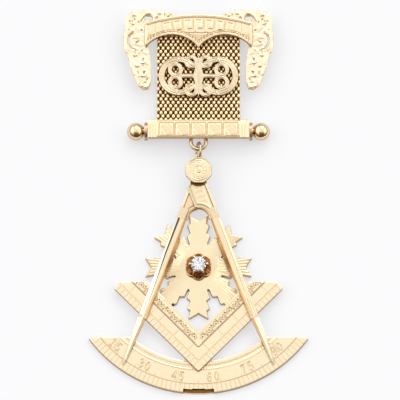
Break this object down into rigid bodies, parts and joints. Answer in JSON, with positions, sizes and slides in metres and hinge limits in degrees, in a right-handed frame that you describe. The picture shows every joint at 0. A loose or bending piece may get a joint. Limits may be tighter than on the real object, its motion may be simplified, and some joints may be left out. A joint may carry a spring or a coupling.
{
  "type": "masonic jewel",
  "caption": "Brooch of curved banner, scroll wings, mesh ribbon and bar, with a hanging pendant of compasses, square, graduated arc and sunburst set with a stone.",
  "frame": {"origin": "centre of the outline on the surface that the jewel lies on", "axes": "+Z out of the jewel's face, +Y up the jewel towards the banner, +X to the viewer's right"},
  "size_m": [0.058, 0.1046, 0.0058],
  "materials": {
    "banner_gold": "satin",
    "wing_gold": "satin",
    "pin_gold": "satin",
    "mesh_gold": "satin",
    "plaque_gold": "satin",
    "bar_gold": "satin",
    "polished_gold": "polished",
    "wire_gold": "polished",
    "compass_gold": "satin",
    "square_gold": "satin",
    "sun_gold": "satin",
    "arc_gold": "satin",
    "setting_gold": "satin",
    "diamond": "brilliant cut"
  },
  "bodies": {
    "root": {"banner": "banner_gold", "left_wing": "wing_gold", "right_wing": "wing_gold", "brooch_pin": "pin_gold", "mesh_ribbon": "mesh_gold", "scroll_applique": "plaque_gold", "lower_bar": "bar_gold", "left_finial": "polished_gold", "right_finial": "polished_gold", "bar_ring": "wire_gold", "jump_ring": "wire_gold", "compass_head": "compass_gold", "right_leg": "compass_gold", "left_leg": "compass_gold", "set_square": "square_gold", "sunburst": "sun_gold", "arc_scale": "arc_gold", "setting": "setting_gold", "diamond": "diamond"}
  },
  "joints": []
}
